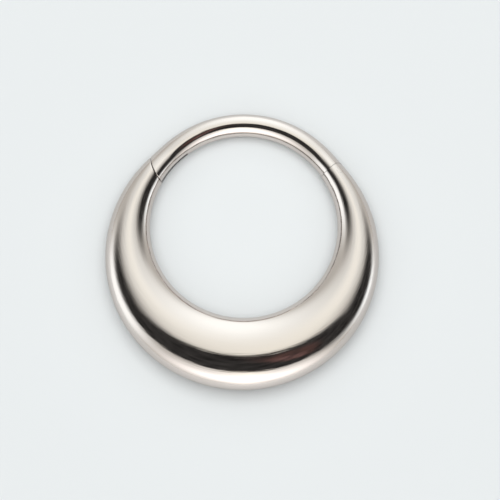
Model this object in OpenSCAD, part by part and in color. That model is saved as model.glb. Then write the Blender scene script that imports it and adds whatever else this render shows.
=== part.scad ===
// Hinged segment hoop, also called a clicker ring: a polished crescent that is
// thick at the belly, closed at the top by a round-wire gate on a hinge pin.
//
// Azimuths are degrees clockwise from the middle of the gate, seen from above.
// The ring is drawn flat about its hole, then laid down on its belly and gate.

/* [Hoop] */
// Diameter of the round hole
hole_d = 10; // [9.8:0.1:10.2]
// Outer diameter of the crescent, which lies off the centre of the hole
crescent_d = 14.6; // [14.5:0.1:14.8]
// Belly of the crescent, measured across from the hole to the outer edge
belly_w = 3.9; // [3.7:0.02:4]
// Belly of the crescent, measured along the axis of the ring
belly_h = 2.36; // [2.1:0.02:2.6]
// Azimuth of the thickest place of the crescent
belly_az = 183; // [180:0.1:186]
// Softness of the bend where the crescent grows out of the wire
blend = 0.09; // [0.04:0.01:0.12]
// Fullness of the belly's section: 2 is an oval, more is squarer
fullness = 2.2; // [2:0.05:2.4]
// How far the crescent stands proud into the hole at the hinge
hinge_proud = 0.03; // [0:0.01:0.04]

/* [Gate] */
// Diameter of the gate's round wire
wire_d = 1.2; // [1.1:0.05:1.3]
// Azimuth of the centre of the gate's rounded free end
nose_az = -38.9; // [-40.2:0.1:-37.6]
// Radius of the gate's rounded free end
nose_r = 1.9; // [1.82:0.01:1.96]
// Width of the seam at the free end
latch_gap = 0.03; // [0.02:0.01:0.05]
// Depth of the flat that is ground along the hole at the free end
lip_flat = 0.03; // [0.01:0.005:0.035]
// How far the crest leans into the hole at the free end, as a share of half the wire
lip_lean = 0.2; // [0:0.02:0.22]
// Azimuth where the ground flat runs out
lip_end_az = -37; // [-40:1:-36]

/* [Latch tongue] */
// Width of the tongue across the wire
tongue_w = 0.32; // [0.26:0.02:0.36]
// Thickness of the tongue along the axis of the ring
tongue_t = 0.36; // [0.3:0.02:0.4]
// Length of the tongue, with its root in the gate
tongue_l = 0.66; // [0.6:0.02:0.7]

/* [Hinge] */
// Distance of the hinge pin outside the edge of the hole
hinge_out = 0.95; // [0.9:0.01:1]
// Azimuth of the hinge pin
hinge_az = 59.8; // [59:0.1:61]
// Azimuth that the straight part of the hinge seam runs along
seam_az = 50; // [48:1:54]
// Radius of the two cheeks around the pin
knuckle_r = 0.42; // [0.4:0.01:0.44]
// Width of the seam between the cheeks and the gate
seam_gap = 0.02; // [0.02:0.005:0.03]
// Radius of the hinge pin
pin_r = 0.16; // [0.14:0.01:0.17]
// Radial clearance of the pin in the two cheeks
cheek_fit = 0.01; // [0.01:0.005:0.02]
// Radial clearance of the pin in the tang
tang_fit = 0.02; // [0.02:0.005:0.03]
// Radius of the tang around the pin
tang_r = 0.31; // [0.3:0.01:0.32]
// Thickness of the tang between the cheeks
tang_t = 0.4; // [0.34:0.02:0.44]
// Clearance of the tang in its slot, on every side
slot_gap = 0.02; // [0.02:0.005:0.03]

/* [Hidden] */
metal = [0.80, 0.77, 0.73];
pin_metal = [0.74, 0.72, 0.69];
$fn = 96;

// Radii of the hole, the wire and the crescent, and how far its circle is off centre
hole_r = hole_d / 2;
wire_r = wire_d / 2;
wire_mid = hole_r + wire_r;
crescent_r = crescent_d / 2;
crescent_shift = hole_r + belly_w - crescent_r;

// How the ring lies on its belly and its gate
belly_mid = hole_r + belly_w / 2;
taper = (belly_h - wire_d) / 2 / (wire_mid + belly_mid);
rest_tilt = asin(taper);
lift = wire_mid * sin(rest_tilt) + wire_r;
far_y = wire_mid * cos(rest_tilt) + wire_r;
near_y = (crescent_shift * cos(belly_az) - crescent_r) * cos(rest_tilt);
centre_x = crescent_shift * sin(belly_az);
centre_y = (far_y + near_y) / 2;

// Azimuths past which the ring grows higher than the wire, towards the belly
hinge_grow = 40;
latch_grow = 321;
height_grow = 25;

// Where the crescent's proud inner edge at the hinge starts to fade out
proud_az = 54.5;
proud_fade = 25;

// How far the crest lies outside the middle, as a share of the section's half width
crest_wire = 0.05;
crest_belly = -0.02;

// Azimuth where the crest starts to lean in, and the degrees from there to the free end
lean_az = -18;
lean_span = 38;

// The sections that both pieces are lofted through, past both seams
az_step = 4;
crescent_azimuths = [50 : az_step : 310];
gate_azimuths = [-66 : az_step : 66];
section_n = 28;

// Heights and lengths that only have to reach past the metal
tall = 6;
past = 3;

// The cheeks' room in the gate, the tang's room in the slot, and the tang's neck
cheek_space = knuckle_r + seam_gap;
slot_room = tang_r + slot_gap;
neck_low = tang_r - 0.03;

function at(r, az) = [r * sin(az), r * cos(az)];
function smooth(x) =
    let (t = max(0, min(1, x)))
    pow(t, 3) * (t * (6 * t - 15) + 10);
function signed_pow(x, e) = sign(x) * pow(abs(x), e);
function grown(az) =
    let (a = (az + 360) % 360)
    smooth((a - hinge_grow) / height_grow)
    * smooth((latch_grow - a) / height_grow);

// Radius of the crescent's outer circle, seen from the centre of the hole
function circle_out(az) =
    let (turn = az - belly_az)
    crescent_shift * cos(turn)
    + sqrt(pow(crescent_r, 2) - pow(crescent_shift * sin(turn), 2));

// Inner and outer radius of the crescent at one azimuth. The outline is the larger of
// the wire's circle and the crescent's, blended softly where they meet.
function inner(az) =
    hole_r - hinge_proud * (1 - smooth((az - proud_az) / proud_fade));
function outer(az) =
    let (more = circle_out(az) - hole_r - wire_d)
    hole_r + wire_d + (more + norm([more, blend])) / 2;

// Point of the section at one azimuth; u goes round it from its outer side. The crest
// may lean in by a share of the half width, and nothing stands inside the wall's radius.
function ring_point(az, u, inner_r, lean = 0, wall = 0) =
    let (
        mid = (inner_r + outer(az)) / 2,
        half_w = (outer(az) - inner_r) / 2,
        half_h = wire_r + taper * (wire_mid - mid * cos(az)) * grown(az),
        thick = max(0, (half_w - wire_r) / (belly_w / 2 - wire_r)),
        power = 2 / (2 + (fullness - 2) * min(1, 2 * thick)),
        crest = crest_wire + (crest_belly - crest_wire) * thick - lean,
        out = signed_pow(cos(u), power),
        up = signed_pow(sin(u), power),
        p = at(max(wall, mid + half_w * (out + crest * (1 - out * out))), az)
    )
    [p[0], p[1], half_h * up];

hinge = at(hole_r + hinge_out, hinge_az);
nose = at(hole_r - wire_r * 0.14, nose_az);

// Where the tongue crosses the wire, and the turn about the pin where it starts
tongue_az = -59;
tongue_root = 178.9;

// Lays the flat ring down, with the middle of its footprint at the origin
module lay() {
    translate([-centre_x, -centre_y, lift])
        rotate([-rest_tilt, 0, 0])
            children();
}

// Moves a shape drawn about the pin to the hinge, +Y along the seam
module at_hinge() {
    translate([hinge[0], hinge[1], 0])
        rotate([0, 0, -seam_az])
            children();
}

// A closed loft through sections of the ring, given as lists of points
module loft(sections) {
    n = len(sections);
    m = section_n;
    points = [for (section = sections) each section];
    sides = [
        for (i = [0 : n - 2], j = [0 : m - 1], half = [0, 1])
            let (
                a = i * m + j,
                b = i * m + (j + 1) % m,
                c = a + m,
                d = b + m
            )
            half == 0 ? [a, d, b] : [a, c, d]
    ];
    first_cap = [for (j = [0 : m - 1]) j];
    last_cap = [for (j = [0 : m - 1]) n * m - 1 - j];
    polyhedron(points, concat(sides, [first_cap, last_cap]), convexity = 6);
}

// The whole crescent, which runs past both seams
module crescent() {
    loft([
        for (az = crescent_azimuths)
            [for (j = [0 : section_n - 1]) ring_point(az, 360 * j / section_n, inner(az))]
    ]);
}

// Section of the gate's wire, which leans in and has a flat ground on it at its free end
function gate_section(az) =
    let (
        lean = lip_lean * pow(max(0, lean_az - az) / lean_span, 1.5),
        wall = az < lip_end_az ? hole_r + lip_flat : 0
    )
    [for (j = [0 : section_n - 1]) ring_point(az, 360 * j / section_n, hole_r, lean, wall)];

// The whole gate's wire, which runs past both seams and swells towards the crescent
module gate_wire() {
    loft([for (az = gate_azimuths) gate_section(az)]);
}

// The rounded free end of the gate, as a cylinder that is grown by a gap
module nose_round(gap) {
    translate([nose[0], nose[1], 0])
        cylinder(r = nose_r + gap, h = tall, center = true);
}

// Everything past the free end of the gate
module past_nose() {
    difference() {
        linear_extrude(tall - 1, center = true)
            polygon([[0, 0], at(3 * hole_r, -45), at(3 * hole_r, -100)]);
        nose_round(0);
    }
}

// The tongue on the gate's free end, curved about the pin so that it can leave
module tongue(gap) {
    arm = norm(hinge - at(wire_mid, tongue_az));
    length = tongue_l + gap;
    translate([hinge[0], hinge[1], 0])
        rotate([0, 0, tongue_root])
            rotate_extrude(angle = length / arm * 180 / PI)
                translate([arm, 0])
                    square([tongue_w + 2 * gap, tongue_t + 2 * gap], center = true);
}

// Outline of the room that the two cheeks take out of the gate
module cheek_room() {
    circle(cheek_space);
    translate([-cheek_space, -past])
        square([past, past]);
    translate([0, -past])
        square([past, 2 * past]);
}

// Outline of the metal that is cleared away in front of the two cheeks
module before_cheeks() {
    difference() {
        union() {
            translate([-past, -past])
                square([past - knuckle_r, past]);
            translate([-past, 0])
                square([past, past]);
        }
        circle(knuckle_r);
    }
}

// The crescent with its latch seat, its two hinge cheeks and the bore in them
module hoop_body() {
    color(metal)
        lay()
            difference() {
                crescent();
                nose_round(latch_gap);
                tongue(latch_gap);
                at_hinge() {
                    linear_extrude(tall, center = true)
                        before_cheeks();
                    translate([-past, -slot_room, -tang_t / 2 - slot_gap])
                        cube([past + slot_room, past, tang_t + 2 * slot_gap]);
                    cylinder(r = pin_r + cheek_fit, h = tall, center = true);
                }
            }
}

// The gate: round wire, rounded free end with its tongue, tang with the bore
module gate() {
    color(metal)
        lay()
            difference() {
                union() {
                    difference() {
                        gate_wire();
                        past_nose();
                        at_hinge() {
                            for (side = [0, 1])
                                mirror([0, 0, side])
                                    translate([0, 0, tang_t / 2])
                                        linear_extrude(past)
                                            cheek_room();
                            translate([0, -past, -past])
                                cube([past, 2 * past, 2 * past]);
                            translate([-cheek_space, -past - neck_low, -past])
                                cube([past, past, 2 * past]);
                        }
                    }
                    at_hinge()
                        cylinder(r = tang_r, h = tang_t, center = true);
                    tongue(0);
                }
                at_hinge()
                    cylinder(r = pin_r + tang_fit, h = tall, center = true);
            }
}

// The hinge pin, its two ends polished flush with the crescent
module hinge_pin() {
    color(pin_metal)
        lay()
            intersection() {
                crescent();
                at_hinge()
                    cylinder(r = pin_r, h = tall, center = true);
            }
}

hoop_body();
gate();
hinge_pin();
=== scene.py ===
"""Dresses the hinged segment hoop: smooth polished steel on a pale card in soft studio light."""

import math

import bmesh
import bpy
import numpy as np
from bpy.props import FloatProperty, FloatVectorProperty, PointerProperty
from mathutils import Matrix, Vector


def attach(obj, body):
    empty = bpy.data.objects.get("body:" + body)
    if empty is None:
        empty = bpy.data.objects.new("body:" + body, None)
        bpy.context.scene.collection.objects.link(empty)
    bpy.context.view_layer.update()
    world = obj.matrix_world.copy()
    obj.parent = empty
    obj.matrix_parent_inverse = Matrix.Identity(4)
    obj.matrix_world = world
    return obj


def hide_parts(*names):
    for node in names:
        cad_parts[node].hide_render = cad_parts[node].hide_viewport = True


bl_info = {
    "name": "Hinged Segment Hoop",
    "version": (1, 0, 0),
    "blender": (4, 5, 0),
    "location": "View3D > Sidebar > Hoop",
    "description": "Polished crescent, wire gate and hinge pin, with their studio",
    "category": "Object",
}

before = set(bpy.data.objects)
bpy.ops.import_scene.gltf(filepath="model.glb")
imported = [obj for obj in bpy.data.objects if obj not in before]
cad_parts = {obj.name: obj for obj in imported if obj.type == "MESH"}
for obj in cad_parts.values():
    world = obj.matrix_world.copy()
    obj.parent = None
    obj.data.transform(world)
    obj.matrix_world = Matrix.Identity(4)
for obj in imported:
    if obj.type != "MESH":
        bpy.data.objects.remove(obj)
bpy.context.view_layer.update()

# Millimetres in a metre: the meshes are drawn in millimetres and laid down in metres
MM = 1000.0

# Edges that turn by more than this are left crisp
CRISP = math.radians(28)

# Lengths that only have to reach past the metal, in plan and in height, in millimetres
PAST = 3.0
TALL = 3.0

# The finishes of the two polished pieces, in the order of their material slots
# The third finish, on the gate's ground flat, is dark with painted shade.
BUFFED, CUT, GROUND_SHADE = 0, 1, 2

# Azimuths past which the ring grows higher than the wire, and over how many degrees
HINGE_GROW = 40.0
LATCH_GROW = 321.0
HEIGHT_GROW = 25.0

# Where the crescent's proud inner edge at the hinge starts to fade out, and over what
PROUD_AZIMUTH = 54.5
PROUD_FADE = 25.0

# How far the crest lies outside the middle, as a share of the section's half width
CREST_WIRE = 0.05
CREST_BELLY = -0.02

# Azimuth where the gate's crest starts to lean in, the degrees to its free end, and the
# power with which the lean grows
LEAN_AZIMUTH = -18.0
LEAN_SPAN = 38.0
LEAN_POWER = 1.5

# How far the centre of the rounded free end lies inside the hole's edge, in wire radii
NOSE_INSET = 0.14

# Columns round each polished piece, and rows along it
CRESCENT_GRID = (144, 330)
GATE_GRID = (160, 300)

# Azimuths where the two pieces start, in metal that the hinge's cuts take away
CRESCENT_START = 50
GATE_START = 66

# Azimuths inside and outside the cylinder of the latch seam, on each piece
CRESCENT_SEAM = (309, 288)
GATE_SEAM = (-50, -70)

# Turns of the rounding at the latch seam, in degrees, and how its face closes inwards
SEAM_ROUNDING = (72, 54, 36, 18, 0)
FACE_SHARES = (0.92, 0.75, 0.5, 0.25)

# Azimuth of the latch tongue's root, and the root's direction from the pin, in degrees
TONGUE_AZIMUTH = -59
TONGUE_TURN = 178.9

# How far the round tang stands out under the gate's trimmed end, in millimetres
TANG_BULGE = 0.03

# The hairline left open round the pin's ends, and the rounding of its edges, in millimetres
PIN_HAIRLINE = 0.002
PIN_EDGE = 0.004

# Lamps over the card: their places and sizes, in metres. The key lamp hangs above the
# fill lamp, which would shade it from the same height.
KEY_PLACE = (0.0, 0.1, 3.1)
KEY_SIZE = 3.4
FILL_PLACE = (0.0, 0.0, 3.0)
FILL_SIZE = 14.0

# Half the card's side in metres, and the camera's sensor in millimetres
CARD_HALF = 1.0
SENSOR_WIDTH = 36.0

# The camera's near and far clips, as shares of its distance
NEAR_CLIP = 0.1
FAR_CLIP = 20


def linear(hex_colour):
    """Linear red, green and blue of an sRGB hex colour."""
    parts = [int(hex_colour[i : i + 2], 16) / 255 for i in (0, 2, 4)]
    return tuple(p / 12.92 if p <= 0.04045 else ((p + 0.055) / 1.055) ** 2.4 for p in parts)


# Settings


class HoopSizes(bpy.types.PropertyGroup):
    """Sizes of the crescent."""

    hole_diameter: FloatProperty(
        name="Hole", description="Diameter of the round hole", default=0.010, unit="LENGTH"
    )
    crescent_diameter: FloatProperty(
        name="Crescent", description="Outer diameter of the crescent", default=0.0146, unit="LENGTH"
    )
    belly_width: FloatProperty(
        name="Belly width",
        description="Belly from the hole to the outer edge",
        default=0.0039,
        unit="LENGTH",
    )
    belly_height: FloatProperty(
        name="Belly height",
        description="Belly along the axis of the ring",
        default=0.00236,
        unit="LENGTH",
    )
    belly_azimuth: FloatProperty(
        name="Belly azimuth",
        description="Where the crescent is thickest, clockwise from the gate's middle",
        default=math.radians(183),
        subtype="ANGLE",
    )
    blend: FloatProperty(
        name="Blend",
        description="Softness of the bend where the crescent grows out of the wire",
        default=0.00009,
        unit="LENGTH",
    )
    fullness: FloatProperty(
        name="Fullness",
        description="Fullness of the belly's section: 2 is an oval, more is squarer",
        default=2.2,
        min=2.0,
        max=3.0,
    )
    hinge_proud: FloatProperty(
        name="Hinge edge",
        description="How far the crescent stands proud into the hole at the hinge",
        default=0.00003,
        unit="LENGTH",
    )


class GateSizes(bpy.types.PropertyGroup):
    """Sizes of the gate and its latch."""

    wire_diameter: FloatProperty(
        name="Wire", description="Diameter of the gate's round wire", default=0.0012, unit="LENGTH"
    )
    nose_azimuth: FloatProperty(
        name="Nose azimuth",
        description="Centre of the rounded free end",
        default=math.radians(-38.9),
        subtype="ANGLE",
    )
    nose_radius: FloatProperty(
        name="Nose radius",
        description="Radius of the rounded free end",
        default=0.0019,
        unit="LENGTH",
    )
    latch_gap: FloatProperty(
        name="Latch seam", description="Width of the latch seam", default=0.00003, unit="LENGTH"
    )
    edge_round: FloatProperty(
        name="Seam edge",
        description="Radius that polishing leaves on the edges of the latch seam",
        default=0.00003,
        unit="LENGTH",
    )
    lip_flat: FloatProperty(
        name="Flat",
        description="Depth of the flat ground along the hole at the free end",
        default=0.00003,
        unit="LENGTH",
    )
    lip_lean: FloatProperty(
        name="Lean",
        description="How far the free end's crest leans into the hole, as a share of half the wire",
        default=0.2,
        min=0.0,
        max=0.22,
    )
    lip_end: FloatProperty(
        name="Flat end",
        description="Azimuth where the ground flat runs out",
        default=math.radians(-37),
        subtype="ANGLE",
    )
    tongue_width: FloatProperty(
        name="Tongue width", description="Tongue across the wire", default=0.00032, unit="LENGTH"
    )
    tongue_thickness: FloatProperty(
        name="Tongue thickness",
        description="Tongue along the axis of the ring",
        default=0.00036,
        unit="LENGTH",
    )
    tongue_length: FloatProperty(
        name="Tongue length",
        description="Tongue with its root in the gate",
        default=0.00066,
        unit="LENGTH",
    )


class HingeSizes(bpy.types.PropertyGroup):
    """Sizes of the hinge."""

    outset: FloatProperty(
        name="Pin outset",
        description="Pin outside the edge of the hole",
        default=0.00095,
        unit="LENGTH",
    )
    azimuth: FloatProperty(
        name="Pin azimuth",
        description="Azimuth of the hinge pin",
        default=math.radians(59.8),
        subtype="ANGLE",
    )
    seam_azimuth: FloatProperty(
        name="Seam direction",
        description="Azimuth that the straight seam runs along",
        default=math.radians(50),
        subtype="ANGLE",
    )
    knuckle_radius: FloatProperty(
        name="Cheeks", description="Radius of the cheeks", default=0.00042, unit="LENGTH"
    )
    seam_gap: FloatProperty(
        name="Hinge seam", description="Width of the hinge seam", default=0.00002, unit="LENGTH"
    )
    pin_radius: FloatProperty(
        name="Pin", description="Radius of the pin", default=0.00016, unit="LENGTH"
    )
    cheek_fit: FloatProperty(
        name="Cheek fit",
        description="Clearance of the pin in the cheeks",
        default=0.00001,
        unit="LENGTH",
    )
    tang_fit: FloatProperty(
        name="Tang fit",
        description="Clearance of the pin in the tang",
        default=0.00002,
        unit="LENGTH",
    )
    tang_radius: FloatProperty(
        name="Tang", description="Radius of the tang", default=0.00031, unit="LENGTH"
    )
    tang_thickness: FloatProperty(
        name="Tang thickness",
        description="Tang between the cheeks",
        default=0.0004,
        unit="LENGTH",
    )
    slot_gap: FloatProperty(
        name="Slot gap", description="Clearance of the tang", default=0.00002, unit="LENGTH"
    )


class FinishColours(bpy.types.PropertyGroup):
    """Colours of the metal and of the card it lies on."""

    polished: FloatVectorProperty(
        name="Polished steel",
        description="Reflection colour of the buffed steel",
        subtype="COLOR",
        size=3,
        default=linear("D4CBC5"),
    )
    cut: FloatVectorProperty(
        name="Cut steel",
        description="Reflection colour of the seats and cheeks, which aren't buffed",
        subtype="COLOR",
        size=3,
        default=linear("6E6964"),
    )
    # The flat's colour is painted shade: far darker than ground steel, it stands in for the shadow
    # that shows as a fine dark line along the gate's free end.
    ground: FloatVectorProperty(
        name="Ground steel",
        description="Reflection colour of the flat at the gate's free end",
        subtype="COLOR",
        size=3,
        default=linear("3A3533"),
    )
    card: FloatVectorProperty(
        name="Card",
        description="Colour of the card under the ring",
        subtype="COLOR",
        size=3,
        default=linear("DBDFE0"),
    )


class StudioSettings(bpy.types.PropertyGroup):
    """The camera and the light."""

    elevation: FloatProperty(
        name="Elevation",
        description="Height of the camera above the card",
        default=math.radians(79),
        subtype="ANGLE",
    )
    lens: FloatProperty(name="Lens", description="Focal length", default=400.0, unit="CAMERA")
    frame_width: FloatProperty(
        name="Frame",
        description="Width of the picture at the ring",
        default=0.02666,
        unit="LENGTH",
    )
    aim_right: FloatProperty(
        name="Aim right", description="Aim to the right", default=0.00042, unit="LENGTH"
    )
    aim_up: FloatProperty(
        name="Aim up", description="Aim up the picture", default=0.00007, unit="LENGTH"
    )
    aim_height: FloatProperty(
        name="Aim height", description="Aim above the card", default=0.001, unit="LENGTH"
    )
    softbox: FloatProperty(
        name="Softboxes", description="Strength of the softboxes", default=2.1, min=0.0
    )
    key_power: FloatProperty(
        name="Key", description="Power of the lamp over the card", default=63.0, unit="POWER"
    )
    fill_power: FloatProperty(
        name="Fill", description="Power of the broad overhead lamp", default=350.0, unit="POWER"
    )
    backdrop: FloatVectorProperty(
        name="Backdrop",
        description="Plain colour beyond the card",
        subtype="COLOR",
        size=3,
        default=linear("EAEEEF"),
    )


# Geometry of the ring, flat about its hole, in millimetres and degrees


def at(radius, azimuth):
    """Plan point at an azimuth, counted clockwise from the gate's middle."""
    turn = np.radians(azimuth)
    return np.stack([radius * np.sin(turn), radius * np.cos(turn)], axis=-1)


def smooth(x):
    """Smooth step from 0 to 1 with flat ends."""
    t = np.clip(x, 0, 1)
    return t**3 * (t * (6 * t - 15) + 10)


def signed_power(x, power):
    """Power of a number's size, with its sign kept."""
    return np.sign(x) * np.abs(x) ** power


class Ring:
    """The measures of the ring and the surfaces of its two polished pieces."""

    def __init__(self, scene):
        hoop, gate, hinge = scene.hoop_sizes, scene.gate_sizes, scene.hinge_sizes
        self.hole_r = hoop.hole_diameter * MM / 2
        self.wire_r = gate.wire_diameter * MM / 2
        self.wire_mid = self.hole_r + self.wire_r
        self.crescent_r = hoop.crescent_diameter * MM / 2
        self.belly_w = hoop.belly_width * MM
        self.shift = self.hole_r + self.belly_w - self.crescent_r
        self.belly_az = math.degrees(hoop.belly_azimuth)
        self.taper = (hoop.belly_height * MM / 2 - self.wire_r) / (
            self.wire_mid + self.hole_r + self.belly_w / 2
        )
        self.blend = hoop.blend * MM
        self.fullness = hoop.fullness
        self.hinge_proud = hoop.hinge_proud * MM
        self.nose_r = gate.nose_radius * MM
        self.nose = at(
            self.hole_r - self.wire_r * NOSE_INSET, math.degrees(gate.nose_azimuth)
        )
        self.latch_gap = gate.latch_gap * MM
        self.edge = gate.edge_round * MM
        self.lip_az = math.degrees(gate.lip_end)
        self.lip_wall = self.hole_r + gate.lip_flat * MM
        self.lip_lean = gate.lip_lean
        self.tongue = [
            gate.tongue_width * MM,
            gate.tongue_thickness * MM,
            gate.tongue_length * MM,
        ]
        self.hinge = at(self.hole_r + hinge.outset * MM, math.degrees(hinge.azimuth))
        self.seam_az = math.degrees(hinge.seam_azimuth)
        self.knuckle_r = hinge.knuckle_radius * MM
        self.seam_gap = hinge.seam_gap * MM
        self.pin_r = hinge.pin_radius * MM
        self.cheek_fit = hinge.cheek_fit * MM
        self.tang_fit = hinge.tang_fit * MM
        self.tang_r = hinge.tang_radius * MM
        self.tang_t = hinge.tang_thickness * MM
        self.slot_gap = hinge.slot_gap * MM

    def lay(self):
        """Matrix that lays the flat ring on its belly and gate, in metres."""
        tilt = math.asin(self.taper)
        lift = self.wire_mid * math.sin(tilt) + self.wire_r
        far_y = self.wire_mid * math.cos(tilt) + self.wire_r
        belly = math.radians(self.belly_az)
        near_y = (self.shift * math.cos(belly) - self.crescent_r) * math.cos(tilt)
        centre = Vector((self.shift * math.sin(belly), (far_y + near_y) / 2, -lift))
        return (
            Matrix.Scale(1 / MM, 4) @ Matrix.Translation(-centre) @ Matrix.Rotation(-tilt, 4, "X")
        )

    def hole(self):
        """Centre of the hole as the ring lies, in metres."""
        return self.lay() @ Vector((0, 0, 0))

    def inner(self, az):
        """Inner radius of the crescent."""
        return self.hole_r - self.hinge_proud * (1 - smooth((az - PROUD_AZIMUTH) / PROUD_FADE))

    def outer(self, az):
        """Radius of the outline: the larger of the wire's and the crescent's, blended."""
        turn = np.radians(az - self.belly_az)
        reach = self.shift * np.cos(turn) + np.sqrt(
            self.crescent_r**2 - (self.shift * np.sin(turn)) ** 2
        )
        edge = self.hole_r + 2 * self.wire_r
        return edge + (reach - edge + np.hypot(reach - edge, self.blend)) / 2

    def section(self, az, inner):
        """Middle radius, half width, half height, fullness and crest of the section."""
        outer = self.outer(az)
        middle, half_w = (outer + inner) / 2, (outer - inner) / 2
        a = np.mod(az, 360)
        grown = smooth((a - HINGE_GROW) / HEIGHT_GROW) * smooth((LATCH_GROW - a) / HEIGHT_GROW)
        rise = self.wire_mid - middle * np.cos(np.radians(az))
        half_h = self.wire_r + self.taper * rise * grown
        thick = np.maximum(0, (half_w - self.wire_r) / (self.belly_w / 2 - self.wire_r))
        full = 2 + (self.fullness - 2) * np.minimum(1, 2 * thick)
        crest = CREST_WIRE + (CREST_BELLY - CREST_WIRE) * thick
        return middle, half_w, half_h, full, crest

    def skin(self, az, u, inner, lean=0.0, wall=0.0):
        """Point of the skin; u turns from the outer side. Nothing stands inside the wall."""
        middle, half_w, half_h, full, crest = self.section(az, inner)
        out = signed_power(np.cos(u), 2 / full)
        up = signed_power(np.sin(u), 2 / full)
        plan = at(np.maximum(wall, middle + half_w * (out + (crest - lean) * (1 - out**2))), az)
        return np.concatenate([plan, (half_h * up)[..., None]], axis=-1)

    def crescent(self, az, u):
        """Point of the crescent's skin."""
        return self.skin(az, u, self.inner(az))

    def gate(self, az, u):
        """Point of the gate's skin, which leans in and has a flat on it at its free end."""
        lean = self.lip_lean * (np.maximum(0, LEAN_AZIMUTH - az) / LEAN_SPAN) ** LEAN_POWER
        wall = np.where(az < self.lip_az, self.lip_wall, 0.0)
        return self.skin(az, u, self.hole_r, lean, wall)

    def height(self, plan):
        """Height of the crescent's skin over plan points."""
        az = np.degrees(np.arctan2(plan[:, 0], plan[:, 1]))
        middle, half_w, half_h, full, crest = self.section(az, self.inner(az))
        across = (np.hypot(plan[:, 0], plan[:, 1]) - middle) / half_w

        # The crest's shift is undone by putting the answer in a few times over
        rounds = 4
        out = across
        for _ in range(rounds):
            out = across - crest * (1 - out**2)
        return half_h * (1 - np.abs(out) ** full) ** (1 / full)

    def from_hinge(self, points):
        """Plan points given about the pin, +Y along the seam, as plan points of the ring."""
        turn = math.radians(self.seam_az)
        x, y = np.asarray(points, float).T
        return np.stack(
            [
                self.hinge[0] + x * math.cos(turn) + y * math.sin(turn),
                self.hinge[1] - x * math.sin(turn) + y * math.cos(turn),
            ],
            axis=-1,
        )


def seam_azimuths(skin, u, nose, radius, inside, outside):
    """Azimuth at which each line of a skin meets the cylinder of the latch seam."""
    near = np.full(u.shape, float(inside))
    far = np.full(u.shape, float(outside))
    halvings = 40
    for _ in range(halvings):
        middle = (near + far) / 2
        plan = skin(middle, u)[..., :2] - nose
        within = np.hypot(plan[..., 0], plan[..., 1]) < radius
        near = np.where(within, middle, near)
        far = np.where(within, far, middle)
    return (near + far) / 2


def outward(skin, az, u):
    """Unit normals of a skin, away from the middle of its section."""
    step = 0.001
    along = skin(az + step, u) - skin(az - step, u)
    around = skin(az, u + step) - skin(az, u - step)
    normal = np.cross(around, along)
    return normal / np.linalg.norm(normal, axis=-1, keepdims=True)


def latch_end(ring, skin, u, seam, edge, radius):
    """Loops that round the edge of a latch seam and close its face, from the skin inwards.

    The edge is the rounding's reach along the skin, in degrees, signed towards the piece.
    """
    loops = []
    for phi in np.radians(SEAM_ROUNDING):
        az = seam + edge * (1 - math.cos(phi))
        sink = ring.edge * (1 - math.sin(phi))
        loops.append(skin(az, u) - sink * outward(skin, az, u))
    rim = loops[-1]
    arm = rim[:, :2] - ring.nose
    turn = np.unwrap(np.arctan2(arm[:, 1], arm[:, 0]))
    middle = (turn.min() + turn.max()) / 2
    for share in FACE_SHARES:
        a = middle + (turn - middle) * share
        plan = ring.nose + radius * np.stack([np.cos(a), np.sin(a)], axis=-1)
        loops.append(np.concatenate([plan, rim[:, 2:] * share], axis=-1))
    tip = [*(ring.nose + radius * np.array([math.cos(middle), math.sin(middle)])), 0]
    return loops, tip


# Meshes


def tube(name, loops, first_tip, last_tip, cut_from=None):
    """A closed tube through loops of points; faces from the loop cut_from on are as cut."""
    rows, columns = len(loops), len(loops[0])
    points = np.concatenate([np.asarray(loops, float).reshape(-1, 3), [first_tip, last_tip]])
    first, last = rows * columns, rows * columns + 1
    faces = []
    for j in range(columns):
        k = (j + 1) % columns
        faces.append((first, k, j))
        for i in range(rows - 1):
            a, b = i * columns, (i + 1) * columns
            faces.append((a + j, a + k, b + k, b + j))
        end = (rows - 1) * columns
        faces.append((end + j, end + k, last))
    mesh = bpy.data.meshes.new(name)
    mesh.from_pydata(points.tolist(), [], faces)
    if cut_from is not None:
        # The faces of each column run from the first tip to the last
        rank = np.tile(np.arange(rows + 1), columns)
        finish = np.where(rank > cut_from, CUT, BUFFED).astype(np.int32)
        mesh.polygons.foreach_set("material_index", finish)
    return facing_out(mesh)


def polished_piece(name, ring, skin, grid, start, seam_sides, radius):
    """A closed piece under a skin, from its start to its rounded edge at the latch seam."""
    columns, rows = grid
    u = np.linspace(0, 2 * math.pi, columns, endpoint=False)
    seam = seam_azimuths(skin, u, ring.nose, radius, *seam_sides)
    per_degree = np.hypot(*skin(seam, u)[:, :2].T) * math.pi / 180
    edge = math.copysign(ring.edge, start - seam_sides[0]) / per_degree
    share = np.linspace(0, 1, rows)[:, None]
    az = start + (seam + edge - start) * share
    loops = list(skin(az, np.broadcast_to(u, az.shape)))
    cut_from = len(loops) + len(SEAM_ROUNDING) - 1
    end, tip = latch_end(ring, skin, u, seam, edge, radius)
    return tube(name, loops + end, [*at(ring.wire_mid, start), 0], tip, cut_from)


def prism(name, outline, low, high):
    """A straight prism of a plan outline between two heights."""
    n = len(outline)
    points = [(x, y, z) for z in (low, high) for x, y in outline]
    sides = [(i, (i + 1) % n, n + (i + 1) % n, n + i) for i in range(n)]
    caps = [tuple(range(n - 1, -1, -1)), tuple(range(n, 2 * n))]
    mesh = bpy.data.meshes.new(name)
    mesh.from_pydata(points, [], sides + caps)
    return facing_out(mesh)


def facing_out(mesh):
    """Turns all faces of a closed mesh outwards."""
    form = bmesh.new()
    form.from_mesh(mesh)
    bmesh.ops.recalc_face_normals(form, faces=form.faces)
    if form.calc_volume(signed=True) < 0:
        bmesh.ops.reverse_faces(form, faces=form.faces)
    form.to_mesh(mesh)
    form.free()
    return mesh


def circle(radius, count=64):
    """Outline of a circle about the pin."""
    turns = np.linspace(0, 2 * math.pi, count, endpoint=False)
    return [(radius * math.cos(t), radius * math.sin(t)) for t in turns]


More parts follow.
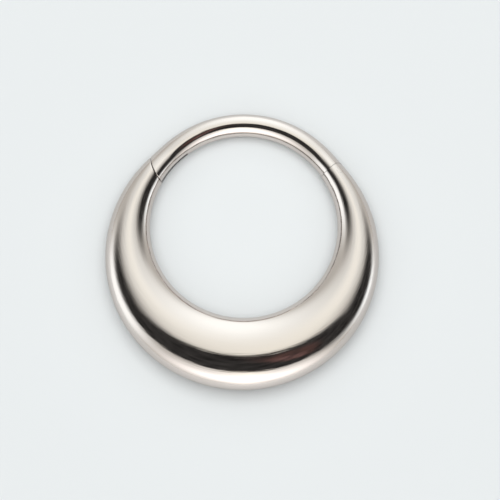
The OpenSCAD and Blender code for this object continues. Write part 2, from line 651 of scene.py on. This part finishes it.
def quarter(radius, count=24):
    """Quarter circle from the seam's own direction back to the inner side of the pin."""
    turns = np.linspace(math.pi / 2, math.pi, count)
    return [(radius * math.cos(t), radius * math.sin(t)) for t in turns]


def tongue(ring, gap):
    """The latch tongue, curved about the pin, grown by a gap."""
    width, thick, long = ring.tongue
    root = at(ring.wire_mid, TONGUE_AZIMUTH)
    arm = math.hypot(*(ring.hinge - root))
    start = math.radians(TONGUE_TURN)
    sections = 9
    turns = np.linspace(start, start + (long + gap) / arm, sections)
    reaches = [arm - width / 2 - gap, arm + width / 2 + gap]
    high = thick / 2 + gap
    loops = []
    for t in turns:
        way = np.array([math.cos(t), math.sin(t)])
        inner, outer = ring.hinge + way * reaches[0], ring.hinge + way * reaches[1]
        loops.append([(*inner, -high), (*outer, -high), (*outer, high), (*inner, high)])
    tips = [np.mean(loops[i], axis=0) for i in (0, -1)]
    return tube("tongue", loops, tips[0], tips[1])


def cut_or_join(mesh, tool, operation):
    """The exact boolean of two meshes, as a new mesh; the tool's faces keep its material."""
    scene = bpy.context.scene
    work = bpy.data.objects.new("work", mesh)
    other = bpy.data.objects.new("tool", tool)
    for obj in (work, other):
        scene.collection.objects.link(obj)
    step = work.modifiers.new("step", "BOOLEAN")
    step.object = other
    step.operation = operation
    step.solver = "EXACT"
    step.material_mode = "TRANSFER"
    bpy.context.view_layer.update()
    seen = work.evaluated_get(bpy.context.evaluated_depsgraph_get())
    made = bpy.data.meshes.new_from_object(seen)
    for obj in (work, other):
        bpy.data.objects.remove(obj)
    for old in (mesh, tool):
        bpy.data.meshes.remove(old)
    if not made.polygons:
        raise RuntimeError("A boolean of the ring left nothing.")
    return made


def paint_shade_on_flat(mesh, ring):
    """Gives the flat along the hole at the gate's free end the ground steel, dark with painted
    shade.
    """
    middles = np.empty(3 * len(mesh.polygons))
    mesh.polygons.foreach_get("center", middles)
    x, y, _ = middles.reshape(-1, 3).T
    finish = np.empty(len(mesh.polygons), np.int32)
    mesh.polygons.foreach_get("material_index", finish)
    touch = 0.001
    past_end = np.degrees(np.arctan2(x, y)) < ring.lip_az
    on_flat = np.hypot(x, y) < ring.lip_wall + touch
    finish[past_end & on_flat & (finish == BUFFED)] = GROUND_SHADE
    mesh.polygons.foreach_set("material_index", finish)


def is_soft(edge):
    """Whether an edge is shaded smooth: a slight bend inside one finish."""
    if len(edge.link_faces) != 2:
        return False
    one, other = edge.link_faces
    return one.material_index == other.material_index and edge.calc_face_angle(0) < CRISP


def finish_mesh(mesh, matrix):
    """Lays a mesh down in metres and shades it smooth but for its crisp edges."""
    mesh.transform(matrix)
    form = bmesh.new()
    form.from_mesh(mesh)
    for edge in form.edges:
        edge.smooth = is_soft(edge)
    for face in form.faces:
        face.smooth = True
    form.to_mesh(mesh)
    form.free()
    mesh.update()


def place(name, mesh, body, nodes):
    """Links a piece, rides it on its body and lets it stand for its CAD nodes."""
    piece = bpy.data.objects.new(name, mesh)
    bpy.context.scene.collection.objects.link(piece)
    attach(piece, body)
    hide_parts(*nodes)
    for node in nodes:
        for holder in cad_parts[node].material_slots:
            holder.material = mesh.materials[BUFFED]


# Materials


def add(tree, kind, inputs=(), **settings):
    """Adds one node with its settings; an input is a value or another node's socket."""
    node = tree.nodes.new(kind)
    for key, value in settings.items():
        setattr(node, key, value)
    for key, value in dict(inputs).items():
        if isinstance(value, bpy.types.NodeSocket):
            tree.links.new(value, node.inputs[key])
        else:
            node.inputs[key].default_value = value
    return node


def new_material(name):
    """An empty node material and its tree, or the finished one and no tree."""
    material = bpy.data.materials.get(name)
    if material:
        return material, None
    material = bpy.data.materials.new(name)
    material.use_nodes = True
    material.node_tree.nodes.clear()
    return material, material.node_tree


def buffed_steel(colours, hole):
    """Surgical steel, buffed on a wheel along the ring.

    A clear, warm mirror. The wheel leaves lines of about 0.01 mm, too fine to show, so
    they are drawn 0.08 mm apart, some 2 mm long and very shallow: they streak the dark
    reflections. At low angles it pales a little less than a perfect mirror.
    """
    material, tree = new_material("steel_316_buffed")
    if tree is None:
        return material
    lines_apart, along, depth = 0.00008, 450.0, 0.00001
    coords = add(tree, "ShaderNodeTexCoord").outputs["Object"]
    split = add(tree, "ShaderNodeSeparateXYZ", {0: coords}).outputs
    from_hole = add(
        tree, "ShaderNodeVectorMath", {0: coords, 1: hole}, operation="SUBTRACT"
    ).outputs[0]
    flat = add(
        tree, "ShaderNodeVectorMath", {0: from_hole, 1: (1.0, 1.0, 0.0)}, operation="MULTIPLY"
    ).outputs[0]
    out = add(tree, "ShaderNodeVectorMath", {0: flat}, operation="LENGTH").outputs["Value"]
    across = add(tree, "ShaderNodeMath", {0: out, 1: 1 / lines_apart}, operation="MULTIPLY")
    along_x = add(tree, "ShaderNodeMath", {0: split[0], 1: along}, operation="MULTIPLY")
    along_y = add(tree, "ShaderNodeMath", {0: split[1], 1: along}, operation="MULTIPLY")
    up = add(tree, "ShaderNodeMath", {0: split[2], 1: 1 / lines_apart}, operation="MULTIPLY")
    spot = add(
        tree,
        "ShaderNodeCombineXYZ",
        {0: along_x.outputs[0], 1: along_y.outputs[0], 2: across.outputs[0]},
    ).outputs[0]
    lines = add(
        tree,
        "ShaderNodeTexNoise",
        {"Vector": spot, "W": up.outputs[0], "Scale": 1.0, "Detail": 2.0, "Roughness": 0.6},
        noise_dimensions="4D",
    ).outputs[0]
    rough = add(
        tree,
        "ShaderNodeMapRange",
        {"Value": lines, "From Min": 0.3, "From Max": 0.75, "To Min": 0.055, "To Max": 0.11},
    ).outputs[0]
    bump = add(
        tree, "ShaderNodeBump", {"Strength": 0.3, "Distance": depth, "Height": lines}
    ).outputs[0]
    shader = add(
        tree,
        "ShaderNodeBsdfPrincipled",
        {
            "Base Color": (*colours.polished, 1.0),
            "Metallic": 1.0,
            "Specular Tint": (0.8, 0.8, 0.8, 1.0),
            "Roughness": rough,
            "Normal": bump,
        },
    )
    add(tree, "ShaderNodeOutputMaterial", {"Surface": shader.outputs[0]})
    return material


def rough_steel(name, colour, marks_apart, roughness, bump_strength=0.0):
    """A satin steel with fine marks, whose roughness runs between two values."""
    material, tree = new_material(name)
    if tree is None:
        return material
    depth = 0.00001
    coords = add(tree, "ShaderNodeTexCoord").outputs["Object"]
    marks = add(
        tree,
        "ShaderNodeTexNoise",
        {"Vector": coords, "Scale": 1 / marks_apart, "Detail": 2.0},
    ).outputs[0]
    rough = add(
        tree,
        "ShaderNodeMapRange",
        {
            "Value": marks,
            "From Min": 0.3,
            "From Max": 0.7,
            "To Min": roughness[0],
            "To Max": roughness[1],
        },
    ).outputs[0]
    inputs = {"Base Color": (*colour, 1.0), "Metallic": 1.0, "Roughness": rough}
    if bump_strength:
        inputs["Normal"] = add(
            tree, "ShaderNodeBump", {"Strength": bump_strength, "Distance": depth, "Height": marks}
        ).outputs[0]
    shader = add(tree, "ShaderNodeBsdfPrincipled", inputs)
    add(tree, "ShaderNodeOutputMaterial", {"Surface": shader.outputs[0]})
    return material


def cut_steel(colours):
    """Surgical steel as the cutter left it, in the seat, the slot and between the cheeks.

    Satin and a good deal darker, with feed marks of about 0.02 mm drawn 0.05 mm apart.
    """
    return rough_steel("steel_316_milled", colours.cut, 0.00005, (0.22, 0.36), 0.15)


def ground_steel_painted_shade(colours):
    """Surgical steel ground on a belt and left unbuffed, at the edge of the gate's free end.

    Its dark colour is painted shade, standing in for the shadow that shows along the flat as
    a fine dark line. Its scratches of about 0.02 mm are drawn 0.04 mm apart.
    """
    return rough_steel("steel_316_ground_painted_shade", colours.ground, 0.00004, (0.3, 0.5))


def satin_card(colours):
    """Coated card, calendered satin: a plain pale sheet, with a faint sheen at low angles.

    Its fibres of about 0.02 mm are drawn 0.25 mm apart.
    """
    material, tree = new_material("card_satin_coated")
    if tree is None:
        return material
    fibres_apart, depth = 0.00025, 0.00002
    coords = add(tree, "ShaderNodeTexCoord").outputs["Object"]
    fibre = add(
        tree, "ShaderNodeTexNoise", {"Vector": coords, "Scale": 1 / fibres_apart, "Detail": 3.0}
    ).outputs[0]
    bump = add(
        tree, "ShaderNodeBump", {"Strength": 0.02, "Distance": depth, "Height": fibre}
    ).outputs[0]
    shader = add(
        tree,
        "ShaderNodeBsdfPrincipled",
        {
            "Base Color": (*colours.card, 1.0),
            "Roughness": 0.3,
            "Specular IOR Level": 0.5,
            "Normal": bump,
        },
    )
    add(tree, "ShaderNodeOutputMaterial", {"Surface": shader.outputs[0]})
    return material


# Light


def oval(tree, chart, middle, size, turn=0.0, soft=0.5):
    """Share of light inside a soft-edged oval on the sky, from 0 to 1.

    Its middle and half size are degrees on a chart round the overhead direction, and
    soft is the share of its size over which it fades.
    """
    spot = add(
        tree,
        "ShaderNodeMapping",
        {
            "Vector": chart,
            "Location": (*middle, 0.0),
            "Rotation": (0.0, 0.0, math.radians(turn)),
            "Scale": (*size, 1.0),
        },
        vector_type="TEXTURE",
    ).outputs[0]
    away = add(tree, "ShaderNodeVectorMath", {0: spot}, operation="LENGTH").outputs["Value"]
    return add(
        tree,
        "ShaderNodeMapRange",
        {"Value": away, "From Min": 1 - soft, "From Max": 1 + soft, "To Min": 1.0, "To Max": 0.0},
        interpolation_type="SMOOTHSTEP",
    ).outputs[0]


def shine(tree, sky, share, hex_colour, strength=1.0):
    """The sky with one panel of light, or of dark cloth, in front of it."""
    colour = tuple(strength * c for c in linear(hex_colour))
    return add(
        tree, "ShaderNodeMix", {0: share, 6: sky, 7: (*colour, 1.0)}, data_type="RGBA"
    ).outputs[2]


def sky_chart(tree, lean):
    """Degrees away from the overhead direction, to the right and towards the front."""
    way = add(tree, "ShaderNodeTexCoord").outputs["Generated"]
    over = add(
        tree,
        "ShaderNodeVectorMath",
        {0: way, 1: (0.0, -math.sin(lean), math.cos(lean))},
        operation="DOT_PRODUCT",
    ).outputs["Value"]
    front = add(
        tree,
        "ShaderNodeVectorMath",
        {0: way, 1: (0.0, -math.cos(lean), -math.sin(lean))},
        operation="DOT_PRODUCT",
    ).outputs["Value"]
    right = add(tree, "ShaderNodeSeparateXYZ", {0: way}).outputs[0]
    angle = add(tree, "ShaderNodeMath", {0: over}, operation="ARCCOSINE").outputs[0]
    reach = add(tree, "ShaderNodeMath", {0: angle}, operation="SINE").outputs[0]
    reach = add(tree, "ShaderNodeMath", {0: reach, 1: 0.001}, operation="MAXIMUM").outputs[0]
    share = add(tree, "ShaderNodeMath", {0: angle, 1: reach}, operation="DIVIDE").outputs[0]
    share = add(
        tree, "ShaderNodeMath", {0: share, 1: math.degrees(1)}, operation="MULTIPLY"
    ).outputs[0]
    flat = add(tree, "ShaderNodeCombineXYZ", {0: right, 1: front}).outputs[0]
    return add(
        tree, "ShaderNodeVectorMath", {0: flat, "Scale": share}, operation="SCALE"
    ).outputs[0]


def dark_cloth(tree, chart, sky):
    """The sky behind dark cloth overhead: a crisp band whose two ends hang in soft lobes."""
    cloth = oval(tree, chart, (5, 2.5), (57, 19), turn=6, soft=0.15)
    for lobe in (
        oval(tree, chart, (-39, -14.5), (19, 20.5), soft=0.62),
        oval(tree, chart, (48.5, -7.5), (23, 31), soft=0.46),
    ):
        cloth = add(tree, "ShaderNodeMath", {0: cloth, 1: lobe}, operation="MAXIMUM").outputs[0]

    # Creases some six degrees apart, which the cloth's own grey follows
    creases = add(
        tree, "ShaderNodeTexNoise", {"Vector": chart, "Scale": 0.17, "Detail": 3.0}
    ).outputs[0]
    weave = add(
        tree,
        "ShaderNodeMapRange",
        {"Value": creases, "From Min": 0.35, "From Max": 0.7, "To Min": 0.016, "To Max": 0.075},
    ).outputs[0]
    weave = add(tree, "ShaderNodeCombineColor", {0: weave, 1: weave, 2: weave}).outputs[0]
    ridges = add(
        tree,
        "ShaderNodeMapRange",
        {"Value": creases, "From Min": 0.4, "From Max": 0.58, "To Min": 0.15, "To Max": 1.0},
    ).outputs[0]
    sky = add(tree, "ShaderNodeMix", {0: cloth, 6: sky, 7: weave}, data_type="RGBA").outputs[2]

    # A warm fold in it, paler along its middle and broken up by the creases' ridges
    for middle, size, soft, colour in (
        ((15.5, 1), (17, 5.7), 0.35, "624A46"),
        ((14.5, 3.5), (8.5, 2.6), 0.6, "8C6E6C"),
    ):
        fold = oval(tree, chart, middle, size, turn=42, soft=soft)
        for veil in (cloth, ridges):
            fold = add(tree, "ShaderNodeMath", {0: fold, 1: veil}, operation="MULTIPLY").outputs[0]
        sky = shine(tree, sky, fold, colour)
    return sky


def soft_studio(scene, settings):
    """The room that the metal mirrors: softboxes all round, and dark cloth overhead.

    It lights the metal alone. The lamps light the card, so that its shadows stay tight.
    """
    world = bpy.data.worlds.new("soft_studio")
    world.use_nodes = True
    tree = world.node_tree
    tree.nodes.clear()
    chart = sky_chart(tree, math.radians(90) - settings.elevation)
    bright = settings.softbox

    # A pale room, and a broad warm glow in the middle of it
    sky = add(tree, "ShaderNodeRGB").outputs[0]
    sky.default_value = (*linear("D6D7D3"), 1.0)
    glow = oval(tree, chart, (2.5, 24.5), (6.4, 55), soft=2.0)
    sky = shine(tree, sky, glow, "FFFFF3", 0.75 * bright)

    # Four softboxes: behind, in front, left and right
    behind = oval(tree, chart, (6, -77), (32.5, 40), soft=0.83)
    sky = shine(tree, sky, behind, "F7FEFF", 0.81 * bright)
    front = oval(tree, chart, (3, 50.5), (41, 19.5), turn=4, soft=1.0)
    sky = shine(tree, sky, front, "FDFEFF", 1.05 * bright)
    left = oval(tree, chart, (-71, 1), (25, 31), soft=0.67)
    sky = shine(tree, sky, left, "F5FCFF", 0.8 * bright)
    right = oval(tree, chart, (73, 0), (22, 20), soft=1.15)
    sky = shine(tree, sky, right, "F0FAFF", 0.89 * bright)

    sky = dark_cloth(tree, chart, sky)
    seen = add(tree, "ShaderNodeLightPath").outputs["Is Camera Ray"]
    sky = add(
        tree,
        "ShaderNodeMix",
        {0: seen, 6: sky, 7: (*settings.backdrop, 1.0)},
        data_type="RGBA",
    ).outputs[2]
    shader = add(tree, "ShaderNodeBackground", {"Color": sky, "Strength": 1.0})
    add(tree, "ShaderNodeOutputWorld", {"Surface": shader.outputs[0]})
    world.cycles_visibility.diffuse = False
    scene.world = world


def card_lamp(name, spot, size, power):
    """A soft lamp aimed at the ring that lights the card alone: the metal doesn't mirror it."""
    data = bpy.data.lights.new(name, "AREA")
    data.shape = "DISK"
    data.size = size
    data.energy = power
    lamp = bpy.data.objects.new(name, data)
    bpy.context.scene.collection.objects.link(lamp)
    lamp.visible_glossy = False
    lamp.visible_camera = False
    turn = spot.to_track_quat("Z", "Y").to_matrix().to_4x4()
    lamp.matrix_world = Matrix.Translation(spot) @ turn


# Pieces


class HOOP_OT_crescent(bpy.types.Operator):
    """Make the polished crescent with its latch seat and hinge cheeks"""

    bl_idname = "hoop.crescent"
    bl_label = "Crescent"

    def execute(self, context):
        ring = Ring(context.scene)
        colours = context.scene.finish_colours
        radius = ring.nose_r + ring.latch_gap
        mesh = polished_piece(
            "crescent", ring, ring.crescent, CRESCENT_GRID, CRESCENT_START, CRESCENT_SEAM, radius
        )
        mesh.materials.append(buffed_steel(colours, ring.hole()))
        mesh.materials.append(cut_steel(colours))

        # Cut away: all before the straight seam and the round cheeks, the tang's slot, the
        # pin's bore and the notch of the latch
        k = ring.knuckle_r
        front = [(-PAST, -PAST), (-k, -PAST), *quarter(k)[::-1], (0, PAST), (-PAST, PAST)]
        room = ring.tang_r + ring.slot_gap
        slot = [(-PAST, -room), (room, -room), (room, PAST), (-PAST, PAST)]
        half = ring.tang_t / 2 + ring.slot_gap
        tools = [
            prism("front", ring.from_hinge(front), -TALL, TALL),
            prism("slot", ring.from_hinge(slot), -half, half),
            prism("bore", ring.from_hinge(circle(ring.pin_r + ring.cheek_fit)), -TALL, TALL),
            tongue(ring, ring.latch_gap),
        ]
        for tool in tools:
            tool.materials.append(cut_steel(colours))
            mesh = cut_or_join(mesh, tool, "DIFFERENCE")
        finish_mesh(mesh, ring.lay())
        place("crescent", mesh, "hoop", ["hoop_body"])
        return {"FINISHED"}


class HOOP_OT_gate(bpy.types.Operator):
    """Make the wire gate with its rounded end, its flat, its tongue and its tang"""

    bl_idname = "hoop.gate"
    bl_label = "Gate"

    def execute(self, context):
        ring = Ring(context.scene)
        colours = context.scene.finish_colours
        mesh = polished_piece(
            "gate_wire", ring, ring.gate, GATE_GRID, GATE_START, GATE_SEAM, ring.nose_r
        )
        mesh.materials.append(buffed_steel(colours, ring.hole()))
        mesh.materials.append(cut_steel(colours))
        # The flat at the free end gets a dark steel whose colour is painted shade.
        mesh.materials.append(ground_steel_painted_shade(colours))
        paint_shade_on_flat(mesh, ring)

        # Cut away: the cheeks' pockets over and under the tang, and all that lies beyond the
        # seam or under the tang. Joined on: the round tang and the tongue.
        c = ring.knuckle_r + ring.seam_gap
        half = ring.tang_t / 2
        neck = ring.tang_r - TANG_BULGE
        pocket = [(-c, -PAST), (PAST, -PAST), (PAST, PAST), (0, PAST), *quarter(c)]
        beyond = [(0, -PAST), (PAST, -PAST), (PAST, PAST), (0, PAST)]
        under = [(-c, -PAST), (PAST, -PAST), (PAST, -neck), (-c, -neck)]
        steps = [
            (prism("pocket", ring.from_hinge(pocket), half, TALL), "DIFFERENCE"),
            (prism("pocket", ring.from_hinge(pocket), -TALL, -half), "DIFFERENCE"),
            (prism("beyond", ring.from_hinge(beyond), -TALL, TALL), "DIFFERENCE"),
            (prism("under", ring.from_hinge(under), -TALL, TALL), "DIFFERENCE"),
            (prism("tang", ring.from_hinge(circle(ring.tang_r)), -half, half), "UNION"),
            (tongue(ring, 0), "UNION"),
            (
                prism("bore", ring.from_hinge(circle(ring.pin_r + ring.tang_fit)), -TALL, TALL),
                "DIFFERENCE",
            ),
        ]
        for tool, operation in steps:
            tool.materials.append(cut_steel(colours))
            mesh = cut_or_join(mesh, tool, operation)
        finish_mesh(mesh, ring.lay())
        place("gate_wire", mesh, "gate", ["gate"])
        return {"FINISHED"}


class HOOP_OT_pin(bpy.types.Operator):
    """Make the hinge pin, its ends polished flush with the crescent"""

    bl_idname = "hoop.pin"
    bl_label = "Hinge pin"

    def execute(self, context):
        ring = Ring(context.scene)
        colours = context.scene.finish_colours
        way = np.array(circle(1))
        radius = ring.pin_r + ring.cheek_fit - PIN_HAIRLINE

        # Distance from the axis and depth under the crescent's skin, from the middle of an end
        # out to the side of the pin
        flat_part = [((radius - PIN_EDGE) * share, 0) for share in (0.3, 0.6, 0.85)]
        rounding = [
            (radius - PIN_EDGE * (1 - math.cos(t)), PIN_EDGE * (1 - math.sin(t)))
            for t in np.radians([90, 60, 30, 0])
        ]
        profile = flat_part + rounding

        def loop(reach, sink, side):
            plan = ring.hinge + way * reach
            return np.column_stack([plan, side * (ring.height(plan) - sink)])

        loops = [loop(reach, sink, -1) for reach, sink in profile]
        loops += [loop(reach, sink, 1) for reach, sink in reversed(profile)]
        top = ring.height(ring.hinge[None, :])[0]
        mesh = tube("hinge_pin_polished", loops, [*ring.hinge, -top], [*ring.hinge, top])
        mesh.materials.append(buffed_steel(colours, ring.hole()))
        finish_mesh(mesh, ring.lay())
        place("pin_polished", mesh, "hoop", ["hinge_pin"])
        return {"FINISHED"}


class HOOP_OT_stage(bpy.types.Operator):
    """Make the card, the light and the camera"""

    bl_idname = "hoop.stage"
    bl_label = "Stage"

    def execute(self, context):
        scene = context.scene
        settings = scene.studio_settings
        mesh = bpy.data.meshes.new("card")
        sides = ((-1, -1), (1, -1), (1, 1), (-1, 1))
        corners = [(x * CARD_HALF, y * CARD_HALF, 0) for x, y in sides]
        mesh.from_pydata(corners, [], [(0, 1, 2, 3)])
        mesh.materials.append(satin_card(scene.finish_colours))
        card = bpy.data.objects.new("card", mesh)
        scene.collection.objects.link(card)
        soft_studio(scene, settings)

        # The card's lamps, and a camera that looks down at the photograph's angle
        card_lamp("key_lamp", Vector(KEY_PLACE), KEY_SIZE, settings.key_power)
        card_lamp("fill_lamp", Vector(FILL_PLACE), FILL_SIZE, settings.fill_power)
        up_angle = settings.elevation
        back = Vector((0.0, -math.cos(up_angle), math.sin(up_angle)))
        up = Vector((0.0, math.sin(up_angle), math.cos(up_angle)))
        right = Vector((1.0, 0.0, 0.0))
        aim = Vector((0, 0, settings.aim_height)) + right * settings.aim_right
        aim += up * settings.aim_up
        data = bpy.data.cameras.new("camera")
        data.lens = settings.lens
        data.sensor_width = SENSOR_WIDTH
        away = settings.frame_width * settings.lens / data.sensor_width
        data.clip_start = away * NEAR_CLIP
        data.clip_end = away * FAR_CLIP
        camera = bpy.data.objects.new("camera", data)
        scene.collection.objects.link(camera)
        camera.matrix_world = Matrix.Translation(aim + back * away) @ (
            Matrix((right, up, back)).transposed().to_4x4()
        )
        scene.camera = camera
        scene.view_settings.view_transform = "Standard"
        return {"FINISHED"}


class HOOP_PT_panel(bpy.types.Panel):
    """Lists the ring's pieces and their sizes"""

    bl_idname = "HOOP_PT_panel"
    bl_label = "Hinged segment hoop"
    bl_space_type = "VIEW_3D"
    bl_region_type = "UI"
    bl_category = "Hoop"

    def draw(self, context):
        layout = self.layout
        for operator in PIECES:
            layout.operator(operator.bl_idname)
        for name, group in SETTINGS.items():
            box = layout.box()
            for prop in group.__annotations__:
                box.prop(getattr(context.scene, name), prop)


SETTINGS = {
    "hoop_sizes": HoopSizes,
    "gate_sizes": GateSizes,
    "hinge_sizes": HingeSizes,
    "finish_colours": FinishColours,
    "studio_settings": StudioSettings,
}
PIECES = (HOOP_OT_crescent, HOOP_OT_gate, HOOP_OT_pin, HOOP_OT_stage)


def register():
    for group in SETTINGS.values():
        bpy.utils.register_class(group)
    for name, group in SETTINGS.items():
        setattr(bpy.types.Scene, name, PointerProperty(type=group))
    for operator in PIECES:
        bpy.utils.register_class(operator)
    bpy.utils.register_class(HOOP_PT_panel)


def unregister():
    bpy.utils.unregister_class(HOOP_PT_panel)
    for operator in reversed(PIECES):
        bpy.utils.unregister_class(operator)
    for name in SETTINGS:
        delattr(bpy.types.Scene, name)
    for group in reversed(list(SETTINGS.values())):
        bpy.utils.unregister_class(group)


def main():
    register()
    bpy.ops.hoop.crescent()
    bpy.ops.hoop.gate()
    bpy.ops.hoop.pin()
    bpy.ops.hoop.stage()


if __name__ == "__main__":
    main()
